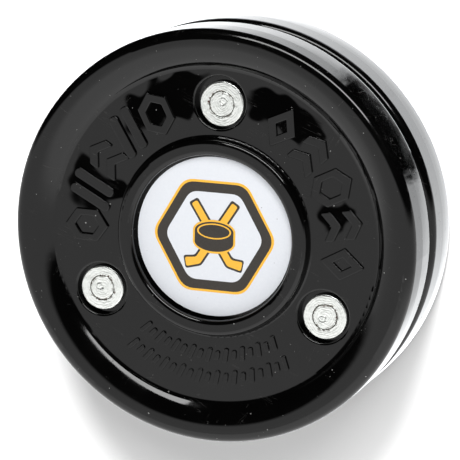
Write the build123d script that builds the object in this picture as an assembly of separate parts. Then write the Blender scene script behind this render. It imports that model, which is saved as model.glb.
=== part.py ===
from build123d import *
import math
import os

# A riveted off-ice hockey puck. It lies flat on its lower glide land, +Z up, with the origin at
# the centre of that land. Two identical moulded shells face each other across the mid-plane,
# three loose rivets hold them together, and a steel weight lies in a cage between them.
# All sizes are millimetres. "Height" in a shell is measured outwards from the mid-plane.

# Regulation envelope
PUCK_DIAMETER = 76.2
PUCK_HEIGHT = 25.4

# How far the loose pieces travel
HALF_FLOAT = 0.8
WEIGHT_FLOAT = 0.6
STOP_CLEARANCE = 0.02

# Shell: outer form
WALL_DRAFT = 0.06          # each side wall narrows by this from its parting line to both ends
GROOVE_WIDTH = 2.2         # open groove between the two side walls
LAND_INNER_RADIUS = 35.7   # flat glide land at the top of the rim
CROWN_RADIUS = 5.9         # round inner flank of the rim
WEB_DEPTH = 2.3            # recessed web below the glide land
HUB_DROP = 0.3             # top of the hub ring below the glide land
HUB_RADIUS = 17.9          # upper corner of the hub ring's outer wall
HUB_SLOPE = 0.5            # run of that slanted wall
RECESS_RADIUS = 15.2       # label recess inside the hub ring
RECESS_DEPTH = 2.3
EDGE_FILLET = 1.8
GROOVE_OUTER_FILLET = 1.5
GROOVE_INNER_FILLET = 0.45
CROWN_BASE_FILLET = 1.0
HUB_EDGE_FILLET = 0.85
HUB_BASE_FILLET = 0.4

# Shell: inner form
WALL_THICKNESS = 2.6
SKIN = 2.5
RIM_HOLLOW_RADIUS = 32.0   # where the underside starts to rise into the rim
INNER_FILLET = 0.8
CAGE_INNER_RADIUS = 17.6   # ring wall around the weight
CAGE_WALL = 2.0
RIB_THICKNESS = 1.8
RIB_SETBACK = 1.6          # radial ribs stop this far short of the mid-plane
SEAT_RIB_THICKNESS = 1.6
SEAT_RIB_COUNT = 6
SEAT_RING_RADIUS = 5.4
SEAT_RING_WALL = 1.8
ROOT_OVERLAP = 0.6         # ribs and bosses run this far into the skin

# Rivets and their pockets
RIVET_COUNT = 3
RIVET_CIRCLE_RADIUS = 24.6
RIVET_FIRST_ANGLE = 90.0
POCKET_RADIUS = 4.85
POCKET_DEPTH = 1.6
POCKET_EDGE_FILLET = 0.4
POCKET_WALL = 2.4
HOLE_RADIUS = 2.5
PIN_RADIUS = 2.0
HEAD_RADIUS = 4.2
HEAD_THICKNESS = 1.1
HEAD_FILLET = 0.4
PEENED_RADIUS = 2.25
PEEN_FLARE = 0.5           # height over which the pin widens to its peened end
PEEN_FILLET = 0.1
WASHER_BASE_FILLET = 0.2
SEAM_WIDTH = 0.14
PEEN_SINK = 0.03
CENTRE_MARK_RADIUS = 0.35
CENTRE_MARK_DEPTH = 0.2
# Each loose rivet has come to rest a little off the centre of its hole.
RIVET_SHIFTS = [(0.20, -0.28), (-0.12, 0.10), (0.18, -0.08)]

# Steel weight
WEIGHT_RADIUS = 17.2
WEIGHT_THICKNESS = 7.0
WEIGHT_HOLE_RADIUS = 4.5
WEIGHT_CHAMFER = 0.6

# Labels
LABEL_RADIUS = 14.7
LABEL_THICKNESS = 0.22

# Raised pattern on the web
RELIEF_HEIGHT = 0.5
RELIEF_ROOT = 0.2
RELIEF_TOP_FILLET = 0.2
RELIEF_CORNER = 0.3
RELIEF_RADIUS = 24.5       # circle through the middle of the large marks
RELIEF_SPAN = 8.4          # radial size of a large mark
STROKE = 1.9
HEXAGON_SQUEEZE = 0.82     # width over height, against a regular hexagon
DIAMOND_HALF_WIDTH = 3.0
DIAMOND_OPENING = 0.4      # the opening as a share of the outline
SLASH_SPREAD = 1.45        # half the distance between the two slashes
SLASH_LEAN = 12.0
CHEVRON_LEVELS = (-0.5, 0.5)
CHEVRON_HALF_WIDTH = 2.7
CHEVRON_RISE = 1.8
CHEVRON_THICKNESS = 1.9
CHEVRON_PITCH = 3.9
BAR_ROUNDING = 0.45        # end radius of a bar as a share of its width
LEFT_MARKS = ["hexagon", "slashes", "chevrons", "slashes", "hexagon"]
RIGHT_MARKS = ["diamond", "chevrons", "hexagon", "chevrons", "diamond"]
LEFT_ARC = (181.0, 119.0)  # first and last mark, degrees
RIGHT_ARC = (61.0, -5.0)
SMALL_ROW_RADII = (22.0, 26.2)
SMALL_ROW_COUNTS = (17, 19)
SMALL_ROW_ARC = (236.0, 304.0)
SMALL_MARK_WIDTH = 0.9
SMALL_MARK_LENGTHS = (2.8, 1.8)
SMALL_MARK_LEAN = 14.0
SMALL_FILLET = 0.15
SMALL_HEIGHT = 0.35

TOLERANCE = 0.001

# Derived heights above the mid-plane
MID_HEIGHT = PUCK_HEIGHT / 2
WALL_RADIUS = PUCK_DIAMETER / 2
WEB_HEIGHT = MID_HEIGHT - WEB_DEPTH
HUB_HEIGHT = MID_HEIGHT - HUB_DROP
RECESS_HEIGHT = HUB_HEIGHT - RECESS_DEPTH
UNDERSIDE_HEIGHT = WEB_HEIGHT - SKIN
RIM_UNDERSIDE_HEIGHT = MID_HEIGHT - SKIN
GROOVE_HEIGHT = GROOVE_WIDTH / 2
ROOT_HEIGHT = UNDERSIDE_HEIGHT + ROOT_OVERLAP
SEAT_HEIGHT = (WEIGHT_THICKNESS + WEIGHT_FLOAT + 2 * STOP_CLEARANCE) / 2
POCKET_FLOOR_HEIGHT = WEB_HEIGHT - POCKET_DEPTH
GRIP_LENGTH = 2 * POCKET_FLOOR_HEIGHT + HALF_FLOAT + STOP_CLEARANCE


def nearest(corners, point):
    """The corner of a section that lies closest to a point."""
    return corners.sort_by_distance(Vector(*point))[0]


def ring(outer_radius, inner_radius, low, high):
    """A plain tube about Z between two heights."""
    aligned = (Align.CENTER, Align.CENTER, Align.MIN)
    wall = Cylinder(outer_radius, high - low, align=aligned)
    bore = Cylinder(inner_radius, high - low, align=aligned)
    return Pos(0, 0, low) * (wall - bore)


def disc(radius, low, high):
    """A plain disc about Z between two heights."""
    return Pos(0, 0, low) * Cylinder(radius, high - low, align=(Align.CENTER, Align.CENTER, Align.MIN))


def radial_bar(start, end, thickness, low, high, angle):
    """A straight bar that runs outwards from the axis at an angle."""
    bar = Box(end - start, thickness, high - low, align=(Align.MIN, Align.CENTER, Align.MIN))
    return Rot(0, 0, angle) * Pos(start, 0, low) * bar


def turned(section):
    """Revolves a section, drawn with x as radius and y as height, about Z."""
    return revolve(Plane.XZ * section, Axis.Z)


def shell_section():
    """Half section of one moulded shell: hub, web, crowned rim and side wall."""
    fall = math.degrees(math.acos((CROWN_RADIUS - WEB_DEPTH) / CROWN_RADIUS))
    crown = JernArc((LAND_INNER_RADIUS, MID_HEIGHT), (-1, 0), CROWN_RADIUS, fall)
    crown_base = crown @ 1
    end_radius = WALL_RADIUS - WALL_DRAFT
    inner_radius = end_radius - WALL_THICKNESS
    hub_base = (HUB_RADIUS + HUB_SLOPE, WEB_HEIGHT)
    parting_height = (MID_HEIGHT + GROOVE_HEIGHT) / 2
    face_side = Polyline(
        (0, UNDERSIDE_HEIGHT),
        (0, RECESS_HEIGHT),
        (RECESS_RADIUS, RECESS_HEIGHT),
        (RECESS_RADIUS, HUB_HEIGHT),
        (HUB_RADIUS, HUB_HEIGHT),
        hub_base,
        crown_base,
    )
    wall_side = Polyline(
        crown @ 0,
        (end_radius, MID_HEIGHT),
        (WALL_RADIUS, parting_height),
        (end_radius, GROOVE_HEIGHT),
        (inner_radius, GROOVE_HEIGHT),
        (inner_radius, RIM_UNDERSIDE_HEIGHT),
        (LAND_INNER_RADIUS - SKIN, RIM_UNDERSIDE_HEIGHT),
        (RIM_HOLLOW_RADIUS, UNDERSIDE_HEIGHT),
        (0, UNDERSIDE_HEIGHT),
    )
    section = make_face(face_side.edges() + crown.edges() + wall_side.edges())
    rounds = [
        ((RECESS_RADIUS, HUB_HEIGHT), HUB_EDGE_FILLET),
        ((HUB_RADIUS, HUB_HEIGHT), HUB_EDGE_FILLET),
        (hub_base, HUB_BASE_FILLET),
        (crown_base, CROWN_BASE_FILLET),
        ((end_radius, MID_HEIGHT), EDGE_FILLET),
        ((end_radius, GROOVE_HEIGHT), GROOVE_OUTER_FILLET),
        ((inner_radius, GROOVE_HEIGHT), GROOVE_INNER_FILLET),
        ((inner_radius, RIM_UNDERSIDE_HEIGHT), INNER_FILLET),
        ((RIM_HOLLOW_RADIUS, UNDERSIDE_HEIGHT), INNER_FILLET),
    ]
    for point, radius in rounds:
        section = fillet(nearest(section.vertices(), point), radius)
    return section


def rivet_angles():
    step = 360 / RIVET_COUNT
    return [RIVET_FIRST_ANGLE + step * i for i in range(RIVET_COUNT)]


def rivet_place(angle):
    """Centre of a rivet hole."""
    spot = Vector(RIVET_CIRCLE_RADIUS, 0, 0).rotate(Axis.Z, angle)
    return Pos(spot.X, spot.Y, 0)


def rivet_boss():
    """Inner tower that carries one rivet: a pan under the pocket and a tube down to the mid-plane."""
    pan_height = POCKET_FLOOR_HEIGHT - POCKET_WALL
    pan = disc(POCKET_RADIUS + POCKET_WALL, pan_height, ROOT_HEIGHT)
    return pan + disc(HOLE_RADIUS + POCKET_WALL, 0, ROOT_HEIGHT)


def cage_and_seat():
    """Ring wall around the weight, and the ribs that the weight lands on."""
    cage = ring(CAGE_INNER_RADIUS + CAGE_WALL, CAGE_INNER_RADIUS, 0, ROOT_HEIGHT)
    seat_inner = SEAT_RING_RADIUS - SEAT_RING_WALL
    pieces = [cage, ring(SEAT_RING_RADIUS, seat_inner, SEAT_HEIGHT, ROOT_HEIGHT)]
    seat_start = SEAT_RING_RADIUS - SEAT_RING_WALL / 2
    seat_end = CAGE_INNER_RADIUS + CAGE_WALL / 2
    for i in range(SEAT_RIB_COUNT):
        angle = i * 360 / SEAT_RIB_COUNT
        pieces.append(
            radial_bar(seat_start, seat_end, SEAT_RIB_THICKNESS, SEAT_HEIGHT, ROOT_HEIGHT, angle)
        )
    return pieces


def stiffening_ribs():
    """Radial ribs from the cage to the side wall, through each rivet boss and midway between."""
    start = CAGE_INNER_RADIUS + CAGE_WALL / 2
    end = WALL_RADIUS - WALL_DRAFT - WALL_THICKNESS / 2
    step = 180 / RIVET_COUNT
    angles = [RIVET_FIRST_ANGLE + step * i for i in range(2 * RIVET_COUNT)]
    return [radial_bar(start, end, RIB_THICKNESS, RIB_SETBACK, ROOT_HEIGHT, a) for a in angles]


def bar(width, height, lean=0.0):
    """An upright bar with rounded ends, leaning to one side."""
    return Rot(0, 0, -lean) * RectangleRounded(width, height, width * BAR_ROUNDING)


def rounded(sketch):
    """The same outline with its corners eased."""
    return fillet(sketch.vertices(), RELIEF_CORNER)


def hexagon_mark():
    """A hexagonal frame."""
    half = RELIEF_SPAN / 2
    outer, inner = [Rot(0, 0, 30) * RegularPolygon(size, 6) for size in (half, half - STROKE)]
    return scale(rounded(outer) - rounded(inner), (HEXAGON_SQUEEZE, 1, 1))


def diamond_mark():
    """A diamond-shaped frame."""
    shapes = []
    for share in (1, DIAMOND_OPENING):
        wide = share * DIAMOND_HALF_WIDTH
        tall = share * RELIEF_SPAN / 2
        shapes.append(make_face(Polyline((wide, 0), (0, tall), (-wide, 0), (0, -tall), close=True)))
    return rounded(shapes[0]) - shapes[1]


def slashes_mark():
    """Two leaning bars."""
    slash = bar(STROKE, RELIEF_SPAN, SLASH_LEAN)
    return Sketch() + [Pos(x, 0) * slash for x in (-SLASH_SPREAD, SLASH_SPREAD)]


def chevron(base):
    """One chevron whose lower points lie at a height."""
    outline = Polyline(
        (-CHEVRON_HALF_WIDTH, base),
        (0, base + CHEVRON_RISE),
        (CHEVRON_HALF_WIDTH, base),
        (CHEVRON_HALF_WIDTH, base + CHEVRON_THICKNESS),
        (0, base + CHEVRON_RISE + CHEVRON_THICKNESS),
        (-CHEVRON_HALF_WIDTH, base + CHEVRON_THICKNESS),
        close=True,
    )
    return rounded(make_face(outline))


def chevrons_mark():
    """Two chevrons, one above the other."""
    middle = (CHEVRON_RISE + CHEVRON_THICKNESS) / 2
    return Sketch() + [chevron(level * CHEVRON_PITCH - middle) for level in CHEVRON_LEVELS]


MARKS = {
    "hexagon": hexagon_mark,
    "diamond": diamond_mark,
    "slashes": slashes_mark,
    "chevrons": chevrons_mark,
}


def raised(sketch, height, top_fillet):
    """Turns a flat mark into raised solids with eased top edges, rooted a little below the web."""
    solids = []
    for face in sketch.faces():
        solid = extrude(face, RELIEF_ROOT + height, dir=(0, 0, 1))
        top_edges = solid.faces().sort_by(Axis.Z)[-1].edges()
        solids.append(Pos(0, 0, WEB_HEIGHT - RELIEF_ROOT) * fillet(top_edges, top_fillet))
    return solids


def spaced(first, last, count):
    """Evenly spaced angles from first to last."""
    return [first + (last - first) * i / (count - 1) for i in range(count)]


def on_circle(solids, radius, angle):
    """Stands mark solids on a circle with their upper side outwards."""
    return [Rot(0, 0, angle - 90) * Pos(0, radius, 0) * solid for solid in solids]


def relief():
    """The raised pattern: two arcs of large marks and two rows of small bars."""
    cut = {name: raised(draw(), RELIEF_HEIGHT, RELIEF_TOP_FILLET) for name, draw in MARKS.items()}
    solids = []
    for names, arc in ((LEFT_MARKS, LEFT_ARC), (RIGHT_MARKS, RIGHT_ARC)):
        for name, angle in zip(names, spaced(*arc, len(names))):
            solids += on_circle(cut[name], RELIEF_RADIUS, angle)
    for radius, count in zip(SMALL_ROW_RADII, SMALL_ROW_COUNTS):
        for i, angle in enumerate(spaced(*SMALL_ROW_ARC, count)):
            length = SMALL_MARK_LENGTHS[i % 2]
            small = raised(bar(SMALL_MARK_WIDTH, length, SMALL_MARK_LEAN), SMALL_HEIGHT, SMALL_FILLET)
            solids += on_circle(small, radius, angle)
    return solids


def shell():
    """One moulded half, glide land up, with the mid-plane at zero."""
    body = turned(shell_section()) + cage_and_seat() + stiffening_ribs()
    pocket = disc(POCKET_RADIUS, POCKET_FLOOR_HEIGHT, MID_HEIGHT)
    hole = disc(HOLE_RADIUS, 0, MID_HEIGHT)
    for angle in rivet_angles():
        place = rivet_place(angle)
        body += place * rivet_boss()
        body -= place * (pocket + hole)
    rims = [
        e
        for e in body.edges().filter_by(GeomType.CIRCLE)
        if abs(e.radius - POCKET_RADIUS) < TOLERANCE and abs(e.center().Z - WEB_HEIGHT) < TOLERANCE
    ]
    body = fillet(rims, POCKET_EDGE_FILLET)
    return body + relief()


def rivet_pin():
    """Pin with its factory head below and its peened end above, about its own axis."""
    low = MID_HEIGHT + POCKET_FLOOR_HEIGHT - GRIP_LENGTH
    washer_top = MID_HEIGHT + POCKET_FLOOR_HEIGHT + HEAD_THICKNESS
    end = washer_top - PEEN_SINK
    section = make_face(
        Polyline(
            (0, low - HEAD_THICKNESS),
            (HEAD_RADIUS, low - HEAD_THICKNESS),
            (HEAD_RADIUS, low),
            (PIN_RADIUS, low),
            (PIN_RADIUS, end - PEEN_FLARE),
            (PEENED_RADIUS, end - PEEN_FLARE / 4),
            (PEENED_RADIUS, end),
            (CENTRE_MARK_RADIUS, end),
            (0, end - CENTRE_MARK_DEPTH),
            close=True,
        )
    )
    section = fillet(nearest(section.vertices(), (HEAD_RADIUS, low - HEAD_THICKNESS)), HEAD_FILLET)
    section = fillet(nearest(section.vertices(), (PEENED_RADIUS, end)), PEEN_FILLET)
    return turned(section)


def rivet_washer():
    """Round washer that the pin is peened over, flat on the floor of the upper pocket."""
    low = MID_HEIGHT + POCKET_FLOOR_HEIGHT
    top = low + HEAD_THICKNESS
    seam_radius = PEENED_RADIUS + SEAM_WIDTH
    flare_top = top - PEEN_SINK - PEEN_FLARE / 4
    flare_low = top - PEEN_SINK - PEEN_FLARE - SEAM_WIDTH
    section = make_face(
        Polyline(
            (PIN_RADIUS, low),
            (HEAD_RADIUS, low),
            (HEAD_RADIUS, top),
            (seam_radius, top),
            (seam_radius, flare_top),
            (PIN_RADIUS, flare_low),
            close=True,
        )
    )
    section = fillet(nearest(section.vertices(), (HEAD_RADIUS, top)), HEAD_FILLET)
    section = fillet(nearest(section.vertices(), (HEAD_RADIUS, low)), WASHER_BASE_FILLET)
    return turned(section)


def weight_disc():
    """Steel disc with a central hole, at rest on the seat ribs of the lower shell."""
    low = MID_HEIGHT - SEAT_HEIGHT
    blank = ring(WEIGHT_RADIUS, WEIGHT_HOLE_RADIUS, low, low + WEIGHT_THICKNESS)
    return chamfer(blank.edges().filter_by(GeomType.CIRCLE), WEIGHT_CHAMFER)


def label():
    """Printed vinyl disc on the floor of a shell's label recess."""
    return disc(LABEL_RADIUS, RECESS_HEIGHT, RECESS_HEIGHT + LABEL_THICKNESS)


def upper(piece):
    return Pos(0, 0, MID_HEIGHT) * piece


def lower(piece):
    """The same piece turned over about Y, which keeps the rivet holes in line."""
    return Pos(0, 0, MID_HEIGHT) * Rot(0, 180, 0) * piece


def assembly():
    """Every piece of the puck in place, by node name."""
    half = shell()
    parts = {
        "lower_half": lower(half),
        "upper_half": upper(half),
        "weight_disc": weight_disc(),
        "lower_label": lower(label()),
        "upper_label": upper(label()),
    }
    pin, washer = rivet_pin(), rivet_washer()
    for i, (angle, shift) in enumerate(zip(rivet_angles(), RIVET_SHIFTS), start=1):
        place = Pos(*shift) * rivet_place(angle)
        parts[f"rivet_{i}_pin"] = place * pin
        parts[f"rivet_{i}_washer"] = place * washer
    return parts


os.makedirs("parts", exist_ok=True)
for node, piece in assembly().items():
    export_step(piece, f"parts/{node}.step")
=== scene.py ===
import math

import bmesh
import bpy
from mathutils import Matrix, Vector


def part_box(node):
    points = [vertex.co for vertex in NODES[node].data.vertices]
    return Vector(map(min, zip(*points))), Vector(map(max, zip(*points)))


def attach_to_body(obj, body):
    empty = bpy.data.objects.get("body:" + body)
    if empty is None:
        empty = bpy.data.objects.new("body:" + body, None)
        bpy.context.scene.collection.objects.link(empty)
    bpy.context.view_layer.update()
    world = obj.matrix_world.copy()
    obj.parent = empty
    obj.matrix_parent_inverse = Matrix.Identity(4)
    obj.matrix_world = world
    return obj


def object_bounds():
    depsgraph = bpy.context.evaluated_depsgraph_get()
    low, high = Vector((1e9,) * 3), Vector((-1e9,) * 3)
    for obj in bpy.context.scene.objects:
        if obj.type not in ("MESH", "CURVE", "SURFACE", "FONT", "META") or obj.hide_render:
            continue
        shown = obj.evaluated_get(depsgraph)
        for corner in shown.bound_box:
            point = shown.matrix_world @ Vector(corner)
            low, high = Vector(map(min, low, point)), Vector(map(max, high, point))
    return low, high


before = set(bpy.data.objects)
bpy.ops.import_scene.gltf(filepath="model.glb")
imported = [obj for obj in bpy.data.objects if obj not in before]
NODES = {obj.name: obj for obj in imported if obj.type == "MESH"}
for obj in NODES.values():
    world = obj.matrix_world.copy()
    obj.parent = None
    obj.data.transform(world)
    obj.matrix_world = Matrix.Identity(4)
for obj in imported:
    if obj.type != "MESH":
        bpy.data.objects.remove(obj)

CAD_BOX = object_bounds()
MM = 0.001

# The camera looks down on the upper face from a little to its upper right, from about half a metre.
VIEW_TARGET = Vector((-0.5, -0.9, 12.7)) * MM
VIEW_BACK = Vector((0.31015, 0.22399, 0.92393))
VIEW_DISTANCE = 551.6 * MM
VIEW_ROLL = math.radians(2.65)
LENS = 234.8
SENSOR = 36.0

# Studio: a white tent on the -Y side, dark on the +Y side but for one strip lamp seen in reflections.
TENT_LEVEL = 0.90
TENT_EDGE = (0.11, -0.05)    # the tent ends where a direction's Y passes from one to the other
TENT_GAIN = 0.6              # the tent is this much brighter further to the -Y side
TENT_GAIN_FROM = (-0.25, -0.5)

# The strip lamp draws the bright band at the foot of the crowned flank. A known fault: from low
# views on the -Y side, the flat web, the rivets and the label mirror it too and look white.
STRIP_LEVEL = 10.0
STRIP_RADIUS = 0.8
STRIP_AZIMUTHS = (43.0, 103.0)     # in degrees, as are the elevations
STRIP_ELEVATIONS = (20.0, 34.0)
STRIP_STEPS = (24, 8)

# Fill lamp, backdrop and floor
FILL_POWER = 2.5
FILL_SIZE = 0.3
FILL_FROM = Vector((0.25, 0.55, 0.8))
FILL_DISTANCE = 0.6
BACKDROP_RADIUS = 3.0
FLOOR_SIZE = 4.0
FLOOR_LAMP_STRENGTH = 5.0
FLOOR_LAMP_ANGLE = math.radians(20)
FLOOR_LAMP_FROM = Vector((0.05, 0.75, 0.65))

# A glowing card on the floor round the puck, seen only in reflections: radii in millimetres
CARD_INNER = 20.0
CARD_OUTER = 51.0
CARD_SEGMENTS = 180
CARD_NEAR_LEVEL = 2.25
CARD_FAR_LEVEL = 1.45
CARD_CHANGE = (42.6, 43.8)
CARD_FADE = (48.8, 50.5)
CARD_FOOT = (39.6, 38.4)      # brighter still against the puck
CARD_FOOT_GAIN = 0.5
CARD_DARK_FROM = (42.6, 43.0)
CARD_DARK_START = (16.0, 22.0)   # a dark gap in the card, in degrees
CARD_DARK_END = (54.0, 63.0)
CARD_WANDER = 16.0               # how far the gap's ends wander, in degrees
CARD_GAP = 0.01 * MM             # below the puck; the floor lies lower still
FLOOR_GAP = 0.02 * MM

# Sizes read from the frame, and the rivets' numbers
PUCK_LOW, PUCK_HIGH = CAD_BOX
MID_Z = (PUCK_LOW.z + PUCK_HIGH.z) / 2
LABEL_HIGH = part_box("upper_label")[1]
RIVETS = (1, 2, 3)

# Shell: the web's height above the mid-plane, and where it looks sunk
WEB_HEIGHT = 10.4 * MM
SINK_SECTORS = [
    ((99, 130), (22.5, 30.0)),
    ((49, 78), (23.5, 30.0)),
    ((155, 171), (18.5, 30.0)),
    ((11, 26), (20.5, 27.0)),
]
SINK_TILT = Vector((0, 0.26, 0))
SINK_SOFT_ANGLE = 7.0      # half the width of a soft edge, in degrees and in millimetres
SINK_SOFT_RADIUS = 1.6
SINK_WANDER_ANGLE = 30.0   # how far the edges wander
SINK_WANDER_RADIUS = 5.0
WEB_TOLERANCE = 0.03

# Rivet tops, in millimetres
SEAM_RADIUS = 2.32
RING_PITCH = math.tau / 0.42
PUNCH_OFFSET = 0.7         # an off-centre ring left by the riveting tool: a real groove, drawn darker as painted shade
PUNCH_RADIUS = 0.6
HAMMERING = 0.9            # how far noise bends the rings

# Printed emblem: two crossed sticks behind a puck, in a hexagon. Millimetres, +Y up.
EMBLEM_TURN = math.radians(1.4)
CORNER_STEPS = 5
CURVE_STEPS = 24                    # in half a turn
INK_LAYER = 0.012
INK_LINE = 0.38
HEXAGON_RADII = (11.9, 11.4, 9.4)
STICK_LINE = [(-4.1, 6.5), (3.0, -4.6), (5.6, -5.1)]
STICK_HALF_WIDTHS = [0.62, 0.66, 0.85]
STICK_INSETS = (0.03, 0.09)         # the gold stops short of the black, as shares of the end runs
STICK_EASING = (0.5, 0.4)           # corner easing of the black and of the gold
HEXAGON_EASING = 0.16               # as a share of the radius
PUCK_ICON_SIZE = (3.7, 1.75, 2.0)   # half width, half depth and height
PUCK_ICON_LINE = 0.35
PUCK_ICON_FACE = (PUCK_ICON_SIZE[0] - 0.45, PUCK_ICON_SIZE[1] - 0.3)
PUCK_ICON_RING = (0.3, 0.24)        # the ring's width at the sides, and at front and back


# ---------------------------------------------------------------- shader helpers


def add(tree, kind, inputs=None, **settings):
    """Makes a shader node. Inputs are values, or the outputs of other nodes."""
    made = tree.nodes.new(kind)
    for name, value in settings.items():
        setattr(made, name, value)
    for key, value in (inputs or {}).items():
        if isinstance(value, bpy.types.NodeSocket):
            tree.links.new(value, made.inputs[key])
        else:
            made.inputs[key].default_value = value
    return made


def calc(tree, operation, *values, clamp=False):
    inputs = dict(enumerate(values))
    return add(tree, "ShaderNodeMath", inputs, operation=operation, use_clamp=clamp).outputs[0]


def vector(tree, operation, *values):
    inputs = dict(enumerate(values))
    made = add(tree, "ShaderNodeVectorMath", inputs, operation=operation)
    return made.outputs["Value" if operation == "LENGTH" else "Vector"]


def scaled(tree, value, factor):
    """A vector times a number. Either may be fixed."""
    made = add(tree, "ShaderNodeVectorMath", {0: value, "Scale": factor}, operation="SCALE")
    return made.outputs["Vector"]


def total_bump(tree, *heights):
    """Several heights, each times its size in millimetres, added up."""
    total = 0.0
    for height, size in heights:
        total = calc(tree, "MULTIPLY_ADD", height, size, total)
    return total


def step(tree, value, low, high):
    """0 at low, 1 at high, with a soft start and end."""
    inputs = {"Value": value, "From Min": low, "From Max": high}
    return add(tree, "ShaderNodeMapRange", inputs, interpolation_type="SMOOTHSTEP").outputs["Result"]


def spread(tree, value, low, high):
    """Spreads a 0 to 1 value over a range."""
    inputs = {"Value": value, "To Min": low, "To Max": high}
    return add(tree, "ShaderNodeMapRange", inputs).outputs["Result"]


def noise(tree, place, scale, detail=2.0, roughness=0.5):
    inputs = {"Vector": place, "Scale": scale, "Detail": detail, "Roughness": roughness}
    return add(tree, "ShaderNodeTexNoise", inputs).outputs["Fac"]


def mix(tree, amount, first, second):
    made = add(tree, "ShaderNodeMix", {"Factor": amount}, data_type="RGBA")
    for name, value in (("A_Color", first), ("B_Color", second)):
        socket = next(s for s in made.inputs if s.identifier == name)
        if isinstance(value, bpy.types.NodeSocket):
            tree.links.new(value, socket)
        else:
            socket.default_value = (*value, 1)
    return next(s for s in made.outputs if s.identifier == "Result_Color")


def bump(tree, height, distance, normal=None):
    """A bump whose height of 1 is that distance in metres."""
    inputs = {"Height": height, "Distance": distance}
    if normal:
        inputs["Normal"] = normal
    return add(tree, "ShaderNodeBump", inputs).outputs["Normal"]


def new_material(name, **sockets):
    """An empty material with a Principled shader, and a coordinate in millimetres."""
    material = bpy.data.materials.new(name)
    material.use_nodes = True
    tree = material.node_tree
    shader = tree.nodes["Principled BSDF"]
    for key, value in sockets.items():
        shader.inputs[key.replace("_", " ")].default_value = value
    here = add(tree, "ShaderNodeTexCoord").outputs["Object"]
    return material, tree, shader, scaled(tree, here, 1 / MM)


def attach(tree, shader, **sockets):
    for key, value in sockets.items():
        tree.links.new(value, shader.inputs[key.replace("_", " ")])


def dress(name, material):
    """Gives a CAD node its material."""
    for material_slot in NODES[name].material_slots:
        material_slot.material = material


# ---------------------------------------------------------------- materials


def between(tree, value, low, high, soft):
    """1 between two limits, with soft edges."""
    rise = step(tree, value, low - soft, low + soft)
    return calc(tree, "MULTIPLY", rise, step(tree, value, high + soft, high - soft))


def sector(tree, radius, angle, angles, radii):
    """1 inside a sector of a ring, in degrees and millimetres, with soft edges."""
    around = between(tree, angle, *angles, SINK_SOFT_ANGLE)
    return calc(tree, "MULTIPLY", around, between(tree, radius, *radii, SINK_SOFT_RADIUS))


def polar(tree, here):
    """Radius and angle about the puck's axis, in millimetres and degrees, and height above the mid-plane."""
    parts = add(tree, "ShaderNodeSeparateXYZ", {0: here}).outputs
    flat = calc(tree, "ADD", calc(tree, "POWER", parts["X"], 2.0), calc(tree, "POWER", parts["Y"], 2.0))
    angle = calc(tree, "DEGREES", calc(tree, "ARCTAN2", parts["Y"], parts["X"]))
    height = calc(tree, "ABSOLUTE", calc(tree, "SUBTRACT", parts["Z"], MID_Z / MM))
    return calc(tree, "SQRT", flat), angle, height


def sink_marks(tree, here):
    """Where the web looks a little sunk, as mouldings do over ribs."""
    radius, angle, height = polar(tree, here)
    wander = calc(tree, "SUBTRACT", noise(tree, here, 0.16, 1.0), 0.5)
    drift = calc(tree, "SUBTRACT", noise(tree, here, 0.3, 0.0), 0.5)
    angle = calc(tree, "MULTIPLY_ADD", wander, SINK_WANDER_ANGLE, angle)
    radius = calc(tree, "MULTIPLY_ADD", drift, SINK_WANDER_RADIUS, radius)
    total = 0.0
    for angles, radii in SINK_SECTORS:
        total = calc(tree, "ADD", total, sector(tree, radius, angle, angles, radii))
    on_web = calc(tree, "COMPARE", height, WEB_HEIGHT / MM, WEB_TOLERANCE)
    return calc(tree, "MULTIPLY", total, on_web, clamp=True)


def specks(tree, here, cell, radius, share):
    """Small round specks, on average that share of the cells holding one."""
    inputs = {"Vector": here, "Scale": 1 / cell, "Randomness": 1.0}
    cells = add(tree, "ShaderNodeTexVoronoi", inputs).outputs
    pick = add(tree, "ShaderNodeSeparateXYZ", {0: cells["Color"]}).outputs
    size = calc(tree, "MULTIPLY_ADD", pick["Y"], 0.8 * radius / cell, 0.3 * radius / cell)
    inside = calc(tree, "SUBTRACT", size, cells["Distance"])
    spot = step(tree, inside, 0.0, 0.35 * radius / cell)
    return calc(tree, "MULTIPLY", spot, calc(tree, "LESS_THAN", pick["X"], share))


def hairlines(tree, here, turn, sparse):
    """Fine scratches along one direction."""
    inputs = {"Vector": here, "Angle": math.radians(turn)}
    turned = add(tree, "ShaderNodeVectorRotate", inputs, rotation_type="Z_AXIS").outputs[0]
    drawn = vector(tree, "MULTIPLY", turned, (0.07, 1.1, 0.3))
    level = calc(tree, "ABSOLUTE", calc(tree, "SUBTRACT", noise(tree, drawn, 1.0, 1.0), 0.5))
    line = step(tree, level, 0.007, 0.002)
    there = step(tree, noise(tree, turned, 0.21, 2.0), sparse, sparse + 0.08)
    return calc(tree, "MULTIPLY", line, there)


def total_of(tree, *values):
    total = values[0]
    for value in values[1:]:
        total = calc(tree, "ADD", total, value)
    return calc(tree, "MULTIPLY", total, 1.0, clamp=True)


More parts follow.
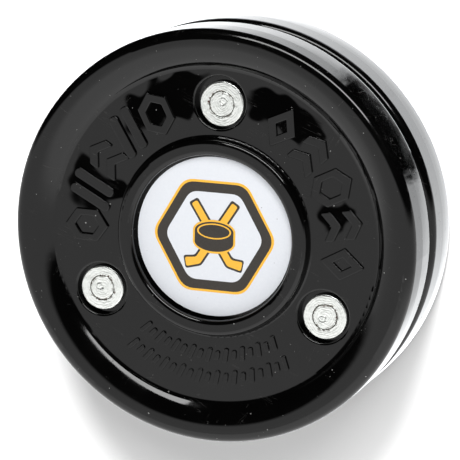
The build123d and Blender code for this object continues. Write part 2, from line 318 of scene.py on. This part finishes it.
def shell_black():
    """Glossy black moulding with sink marks, dust, hairlines and faint smudges."""
    material, tree, shader, here = new_material("shell_black", IOR=1.46)
    smudge = noise(tree, here, 0.12, 6.0, 0.62)
    scuff = total_of(tree, hairlines(tree, here, 20, 0.56), hairlines(tree, here, 115, 0.60))
    dust = total_of(tree, specks(tree, here, 2.1, 0.17, 0.6), specks(tree, here, 0.9, 0.08, 0.3))
    black = mix(tree, smudge, (0.0008, 0.0008, 0.0009), (0.0022, 0.0021, 0.0020))
    worn = mix(tree, calc(tree, "MULTIPLY", scuff, 0.5), black, (0.035, 0.034, 0.032))
    colour = mix(tree, dust, worn, (0.26, 0.26, 0.25))
    gloss = spread(tree, step(tree, smudge, 0.40, 0.72), 0.07, 0.15)
    rough = calc(tree, "MULTIPLY_ADD", total_of(tree, scuff, dust), 0.35, gloss)
    flat = add(tree, "ShaderNodeNewGeometry").outputs["Normal"]
    tilt = scaled(tree, SINK_TILT, sink_marks(tree, here))
    sunk = vector(tree, "NORMALIZE", vector(tree, "ADD", flat, tilt))
    peel = bump(tree, noise(tree, here, 0.45, 2.0), 0.004 * MM, sunk)
    normal = bump(tree, dust, 0.02 * MM, peel)
    attach(tree, shader, Base_Color=colour, Roughness=rough, Normal=normal)
    return material


def label_vinyl():
    """White printed vinyl with a faint satin grain."""
    material, tree, shader, here = new_material("label_vinyl", Roughness=0.33, IOR=1.45)
    grain = noise(tree, here, 2.2, 5.0, 0.7)
    cloud = noise(tree, here, 0.15, 3.0)
    white = mix(tree, grain, (0.72, 0.745, 0.79), (0.82, 0.84, 0.875))
    colour = mix(tree, calc(tree, "MULTIPLY", cloud, 0.25), white, (0.66, 0.68, 0.73))
    dust = specks(tree, here, 1.6, 0.12, 0.5)
    attach(tree, shader, Base_Color=mix(tree, dust, colour, (0.42, 0.42, 0.42)))
    attach(tree, shader, Normal=bump(tree, grain, 0.012 * MM))
    return material


def ink(name, colour, pale):
    """Screen-printed ink: almost even, with a fine mottle."""
    material, tree, shader, here = new_material(name, Roughness=0.38, IOR=1.45)
    grain = noise(tree, here, 2.4, 5.0, 0.7)
    attach(tree, shader, Base_Color=mix(tree, grain, colour, pale), Normal=bump(tree, grain, 0.008 * MM))
    return material


def rivet_steel(name, centre, turn):
    """Bright plated steel, hammered about the pin's middle, with rust in the seam round the pin."""
    material, tree, shader, here = new_material(name, Metallic=1.0)
    local = vector(tree, "SUBTRACT", here, centre / MM)
    warp = add(tree, "ShaderNodeTexNoise", {"Vector": here, "Scale": 0.7, "Detail": 2.0}).outputs["Color"]
    warped = vector(tree, "MULTIPLY_ADD", warp, (HAMMERING, HAMMERING, 0.0), local)
    centred = vector(tree, "SUBTRACT", warped, (HAMMERING / 2, HAMMERING / 2, 0.0))
    flat = vector(tree, "MULTIPLY", centred, (1, 1, 0))
    radius = vector(tree, "LENGTH", flat)
    off_centre = Vector((math.cos(turn), math.sin(turn), 0)) * PUNCH_OFFSET
    punch = vector(tree, "LENGTH", vector(tree, "SUBTRACT", flat, off_centre))
    grain = noise(tree, here, 3.0, 5.0, 0.7)
    blotch = noise(tree, here, 1.3, 3.0, 0.6)
    patches = step(tree, blotch, 0.46, 0.62)
    rings = calc(tree, "SINE", calc(tree, "MULTIPLY", radius, RING_PITCH))
    round_pin = calc(tree, "ABSOLUTE", calc(tree, "SUBTRACT", radius, SEAM_RADIUS))
    broken = step(tree, noise(tree, here, 1.1, 3.0, 0.7), 0.47, 0.55)
    wide = calc(tree, "MULTIPLY_ADD", noise(tree, here, 1.4, 2.0), 1.3, -0.28)
    seam = calc(tree, "MULTIPLY", step(tree, round_pin, wide, 0.03), broken)
    pits = calc(tree, "MULTIPLY", specks(tree, here, 0.8, 0.3, 0.7), step(tree, round_pin, 0.45, 0.2))
    dimple = step(tree, calc(tree, "ABSOLUTE", calc(tree, "SUBTRACT", punch, PUNCH_RADIUS)), 0.26, 0.04)
    bright = mix(tree, calc(tree, "MULTIPLY", patches, 0.5), (0.95, 0.97, 0.935), (0.72, 0.75, 0.71))
    # The tool's ring is a real groove; its darker grey here is painted shade in that groove.
    with_painted_ring_shade = mix(tree, calc(tree, "MULTIPLY", dimple, 0.3), bright, (0.40, 0.42, 0.40))
    seamed = mix(tree, calc(tree, "MULTIPLY", seam, 0.8), with_painted_ring_shade, (0.14, 0.10, 0.07))
    colour = mix(tree, pits, seamed, (0.12, 0.035, 0.025))
    rough = calc(tree, "MULTIPLY_ADD", total_of(tree, seam, pits), 0.4, spread(tree, grain, 0.24, 0.46))
    relief = total_bump(
        tree, (rings, 0.007), (grain, 0.006), (blotch, 0.07), (dimple, -0.05), (seam, -0.04), (pits, -0.05)
    )
    attach(tree, shader, Base_Color=colour, Roughness=rough, Normal=bump(tree, relief, MM))
    return material


def weight_steel():
    """Plain tumbled steel."""
    material, tree, shader, here = new_material("weight_steel", Metallic=1.0)
    grain = noise(tree, here, 1.0, 5.0, 0.7)
    attach(tree, shader, Base_Color=mix(tree, grain, (0.30, 0.29, 0.28), (0.52, 0.51, 0.49)))
    attach(tree, shader, Roughness=spread(tree, grain, 0.35, 0.6), Normal=bump(tree, grain, 0.02 * MM))
    return material


def dress_nodes():
    shell, vinyl, weight = shell_black(), label_vinyl(), weight_steel()
    for side in ("lower", "upper"):
        dress(f"{side}_half", shell)
        dress(f"{side}_label", vinyl)
    dress("weight_disc", weight)
    for number in RIVETS:
        low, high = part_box(f"rivet_{number}_pin")
        steel = rivet_steel(f"rivet_steel_{number}", (low + high) / 2, math.tau * number / 5)
        dress(f"rivet_{number}_pin", steel)
        dress(f"rivet_{number}_washer", steel)


# ---------------------------------------------------------------- printed emblem


def stroke(points, half_widths):
    """Outline of a bent bar through points, with a half-width at each."""
    left, right = [], []
    for i, (point, half) in enumerate(zip(points, half_widths)):
        before = (point - points[i - 1]).normalized() if i else (points[1] - point).normalized()
        after = (points[i + 1] - point).normalized() if i + 1 < len(points) else before
        side = Vector((-(before + after).y, (before + after).x)).normalized()
        reach = half / side.dot(Vector((-after.y, after.x)))
        left.append(point + side * reach)
        right.append(point - side * reach)
    return left + right[::-1]


def eased(outline, cut):
    """The same outline with each corner rounded, starting that far from the corner."""
    smooth = []
    for i, corner in enumerate(outline):
        before, after = outline[i - 1], outline[(i + 1) % len(outline)]
        reach = min(cut, (before - corner).length * 0.45, (after - corner).length * 0.45)
        start = corner + (before - corner).normalized() * reach
        end = corner + (after - corner).normalized() * reach
        for k in range(CORNER_STEPS + 1):
            t = k / CORNER_STEPS
            smooth.append(start.lerp(corner, t).lerp(corner.lerp(end, t), t))
    return smooth


def hexagon(radius):
    return [Vector((math.cos(a), math.sin(a))) * radius for a in (math.radians(60 * k) for k in range(6))]


def puck_outline(grow=0.0):
    """A small puck seen from above and in front."""
    wide, deep = PUCK_ICON_SIZE[0] + grow, PUCK_ICON_SIZE[1] + grow
    lift = Vector((0, PUCK_ICON_SIZE[2] / 2))
    turns = [math.pi * k / CURVE_STEPS for k in range(CURVE_STEPS + 1)]
    top = [Vector((wide * math.cos(t), deep * math.sin(t))) + lift for t in turns]
    return top + [-point for point in top]


def ellipse(wide, deep, centre):
    count = 2 * CURVE_STEPS
    turns = [math.tau * k / count for k in range(count)]
    return [Vector((wide * math.cos(t), deep * math.sin(t))) + centre for t in turns]


def slab(draft, outline, low, high, hole=None):
    """A flat closed slab with that outline, in millimetres. A hole has as many points as the outline."""
    loops = []
    for points in (outline, hole or []):
        for z in (low, high):
            loops.append([draft.verts.new((p.x, p.y, z)) for p in points])
    walls = [(loops[0], loops[1])]
    if hole:
        walls += [(loops[1], loops[3]), (loops[3], loops[2]), (loops[2], loops[0])]
    else:
        draft.faces.new(loops[1])
        draft.faces.new(loops[0][::-1])
    for first, second in walls:
        for i in range(len(first)):
            j = (i + 1) % len(first)
            draft.faces.new((first[i], first[j], second[j], second[i]))


def emblem_slabs():
    """What the two inks print: (ink, outline, hole, layer), the layers lying one on the other."""
    rings = [eased(hexagon(r), r * HEXAGON_EASING) for r in HEXAGON_RADII]
    made = [("gold", rings[0], rings[1], 1), ("black", rings[1], rings[2], 1)]
    for side, layer in ((1, 1), (-1, 3)):
        line = [Vector((side * x, y)) for x, y in STICK_LINE]
        wider = [w + INK_LINE for w in STICK_HALF_WIDTHS]
        made.append(("black", eased(stroke(line, wider), STICK_EASING[0]), None, layer))
        inner = [line[0].lerp(line[1], STICK_INSETS[0]), line[1], line[2].lerp(line[1], STICK_INSETS[1])]
        made.append(("gold", eased(stroke(inner, STICK_HALF_WIDTHS), STICK_EASING[1]), None, layer + 1))
    made.append(("gold", puck_outline(PUCK_ICON_LINE), None, 5))
    made.append(("black", puck_outline(), None, 6))
    face = Vector((0, PUCK_ICON_SIZE[2] / 2))
    wide, deep = PUCK_ICON_FACE
    inside = ellipse(wide - PUCK_ICON_RING[0], deep - PUCK_ICON_RING[1], face)
    made.append(("gold", ellipse(wide, deep, face), inside, 7))
    return made


def print_emblem(side, turn, inks):
    """The emblem on one label, one piece for each ink, riding with that half."""
    for name, material in inks.items():
        draft = bmesh.new()
        for used, outline, hole, layer in emblem_slabs():
            if used == name:
                slab(draft, outline, (layer - 1) * INK_LAYER, layer * INK_LAYER, hole)
        bmesh.ops.triangulate(draft, faces=[f for f in draft.faces if len(f.verts) > 4])
        bmesh.ops.recalc_face_normals(draft, faces=draft.faces)
        bmesh.ops.scale(draft, vec=(MM, MM, MM), verts=draft.verts)
        draft.transform(turn @ Matrix.Rotation(EMBLEM_TURN, 4, "Z"))
        mesh = bpy.data.meshes.new(f"{side}_emblem_{name}")
        draft.to_mesh(mesh)
        draft.free()
        mesh.materials.append(material)
        piece = link(bpy.data.objects.new(f"{side}_emblem_{name}", mesh))
        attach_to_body(piece, side)


def print_emblems():
    inks = {
        "black": ink("ink_black", (0.022, 0.018, 0.014), (0.050, 0.043, 0.036)),
        "gold": ink("ink_gold", (0.86, 0.44, 0.035), (1.0, 0.56, 0.06)),
    }
    above = Matrix.Translation((0, 0, LABEL_HIGH.z))
    below = Matrix.Translation((0, 0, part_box("lower_label")[0].z)) @ Matrix.Rotation(math.pi, 4, "Y")
    print_emblem("upper", above, inks)
    print_emblem("lower", below, inks)


# ---------------------------------------------------------------- studio


def link(made):
    bpy.context.scene.collection.objects.link(made)
    return made


def make_floor():
    """A plain pale floor just under the puck."""
    mesh = bpy.data.meshes.new("floor")
    draft = bmesh.new()
    bmesh.ops.create_grid(draft, x_segments=1, y_segments=1, size=FLOOR_SIZE / 2)
    draft.to_mesh(mesh)
    draft.free()
    floor = link(bpy.data.objects.new("floor", mesh))
    floor.location.z = PUCK_LOW.z - FLOOR_GAP
    material, tree, shader, here = new_material("floor_white", Roughness=0.9)
    shader.inputs["Specular IOR Level"].default_value = 0.0
    grain = noise(tree, here, 0.05, 3.0)
    attach(tree, shader, Base_Color=mix(tree, grain, (0.80, 0.80, 0.80), (0.83, 0.83, 0.83)))
    mesh.materials.append(material)
    floor.visible_glossy = False
    return floor


def glow_material(name, colour):
    """An emission material, returned with its tree and its emission node."""
    material = bpy.data.materials.new(name)
    material.use_nodes = True
    tree = material.node_tree
    tree.nodes.remove(tree.nodes["Principled BSDF"])
    glow = add(tree, "ShaderNodeEmission", {"Color": (*colour, 1)})
    output = next(n for n in tree.nodes if n.type == "OUTPUT_MATERIAL")
    tree.links.new(glow.outputs[0], output.inputs["Surface"])
    return material, tree, glow


def stage_piece(name, draft, material, seen_by):
    """Adds a studio piece that only one kind of ray sees."""
    mesh = bpy.data.meshes.new(name)
    draft.to_mesh(mesh)
    draft.free()
    mesh.materials.append(material)
    piece = link(bpy.data.objects.new(name, mesh))
    for kind in ("camera", "diffuse", "glossy", "transmission", "volume_scatter", "shadow"):
        setattr(piece, f"visible_{kind}", kind == seen_by)
    return piece


def make_backdrop():
    """A pale dome that only the camera sees, so that no view has a dark background."""
    draft = bmesh.new()
    bmesh.ops.create_uvsphere(draft, u_segments=48, v_segments=24, radius=BACKDROP_RADIUS)
    material, _, _ = glow_material("backdrop_white", (0.985, 0.985, 0.985))
    stage_piece("backdrop", draft, material, "camera")


def evenly(first, last, count):
    """Evenly spaced values, first and last included."""
    return [first + (last - first) * i / count for i in range(count + 1)]


def direction(azimuth, elevation):
    """Unit vector from angles in degrees."""
    azimuth, elevation = math.radians(azimuth), math.radians(elevation)
    flat = math.cos(elevation)
    return Vector((math.cos(azimuth) * flat, math.sin(azimuth) * flat, math.sin(elevation)))


def make_strip_lamp():
    """A curved strip lamp on the +Y side, seen only in reflections."""
    draft = bmesh.new()
    columns, rows = STRIP_STEPS
    azimuths = evenly(*STRIP_AZIMUTHS, columns)
    elevations = evenly(*STRIP_ELEVATIONS, rows)
    grid = [[draft.verts.new(direction(a, e) * STRIP_RADIUS) for e in elevations] for a in azimuths]
    for i in range(columns):
        for j in range(rows):
            draft.faces.new((grid[i][j], grid[i + 1][j], grid[i + 1][j + 1], grid[i][j + 1]))
    material, _, glow = glow_material("strip_glow", (1, 1, 1))
    glow.inputs["Strength"].default_value = STRIP_LEVEL
    stage_piece("strip_lamp", draft, material, "glossy")


def make_world():
    """The light tent: white over half the sky and dark over the other half."""
    world = bpy.data.worlds.new("studio")
    bpy.context.scene.world = world
    world.use_nodes = True
    tree = world.node_tree
    way = add(tree, "ShaderNodeTexCoord").outputs["Generated"]
    side = add(tree, "ShaderNodeSeparateXYZ", {0: way}).outputs["Y"]
    gain = calc(tree, "MULTIPLY_ADD", step(tree, side, *TENT_GAIN_FROM), TENT_GAIN, 1.0)
    tent = calc(tree, "MULTIPLY", step(tree, side, *TENT_EDGE), calc(tree, "MULTIPLY", gain, TENT_LEVEL))
    background = tree.nodes["Background"]
    background.inputs["Color"].default_value = (1, 1, 1, 1)
    tree.links.new(tent, background.inputs["Strength"])


def make_card():
    """The glowing card round the puck: brighter near it, with a dark gap, and nothing past its rim."""
    draft = bmesh.new()
    slopes = [math.tau * k / CARD_SEGMENTS for k in range(CARD_SEGMENTS)]
    loops = [
        [draft.verts.new((r * MM * math.cos(a), r * MM * math.sin(a), 0)) for a in slopes]
        for r in (CARD_INNER, CARD_OUTER)
    ]
    for i in range(CARD_SEGMENTS):
        j = (i + 1) % CARD_SEGMENTS
        draft.faces.new((loops[0][i], loops[1][i], loops[1][j], loops[0][j]))
    material, tree, shine = glow_material("card_glow", (0.97, 0.985, 1.0))
    here = scaled(tree, add(tree, "ShaderNodeTexCoord").outputs["Object"], 1 / MM)
    radius, angle, _ = polar(tree, here)
    wander = calc(tree, "SUBTRACT", noise(tree, here, 0.5, 5.0, 0.7), 0.5)
    ragged = calc(tree, "MULTIPLY_ADD", wander, CARD_WANDER, angle)
    level = step(tree, radius, *CARD_CHANGE)
    inputs = {"Value": level, "To Min": CARD_NEAR_LEVEL, "To Max": CARD_FAR_LEVEL}
    glow = add(tree, "ShaderNodeMapRange", inputs).outputs["Result"]
    start, end = step(tree, ragged, *CARD_DARK_START), step(tree, ragged, *CARD_DARK_END[::-1])
    gap = calc(tree, "MULTIPLY", calc(tree, "MULTIPLY", start, end), step(tree, radius, *CARD_DARK_FROM))
    kept = calc(tree, "MULTIPLY", calc(tree, "SUBTRACT", 1.0, gap), step(tree, radius, *CARD_FADE[::-1]))
    foot = calc(tree, "MULTIPLY_ADD", step(tree, radius, *CARD_FOOT), CARD_FOOT_GAIN, 1.0)
    strength = calc(tree, "MULTIPLY", calc(tree, "MULTIPLY", glow, foot), kept)
    tree.links.new(strength, shine.inputs["Strength"])
    card = stage_piece("card", draft, material, "glossy")
    card.location.z = PUCK_LOW.z - CARD_GAP


def make_fill():
    """A soft lamp on the +X +Y side that lights the label but shows in no reflection."""
    data = bpy.data.lights.new("fill", "AREA")
    data.energy = FILL_POWER
    data.size = FILL_SIZE
    fill = link(bpy.data.objects.new("fill", data))
    way = FILL_FROM.normalized()
    fill.location = way * FILL_DISTANCE
    fill.rotation_mode = "QUATERNION"
    fill.rotation_quaternion = way.to_track_quat("Z", "Y")
    fill.visible_camera = False
    fill.visible_glossy = False


def make_floor_lamp(floor):
    """A soft sun that lights the floor alone and leaves the puck's shadow on it."""
    data = bpy.data.lights.new("floor_lamp", "SUN")
    data.energy = FLOOR_LAMP_STRENGTH
    data.angle = FLOOR_LAMP_ANGLE
    lamp = link(bpy.data.objects.new("floor_lamp", data))
    lamp.rotation_mode = "QUATERNION"
    lamp.rotation_quaternion = FLOOR_LAMP_FROM.to_track_quat("Z", "Y")
    receivers = bpy.data.collections.new("floor_only")
    receivers.objects.link(floor)
    lamp.light_linking.receiver_collection = receivers


def make_camera():
    data = bpy.data.cameras.new("camera")
    data.lens = LENS
    data.sensor_width = SENSOR
    camera = link(bpy.data.objects.new("camera", data))
    hint = Vector((-math.sin(VIEW_ROLL), math.cos(VIEW_ROLL), 0))
    back = VIEW_BACK.normalized()
    right = hint.cross(back).normalized()
    turn = Matrix((right, back.cross(right), back)).transposed()
    camera.matrix_world = Matrix.Translation(VIEW_TARGET + back * VIEW_DISTANCE) @ turn.to_4x4()
    bpy.context.scene.camera = camera


make_camera()
floor = make_floor()
make_backdrop()
make_card()
make_strip_lamp()
make_world()
make_fill()
make_floor_lamp(floor)
bpy.context.scene.view_settings.view_transform = "Standard"

dress_nodes()
print_emblems()
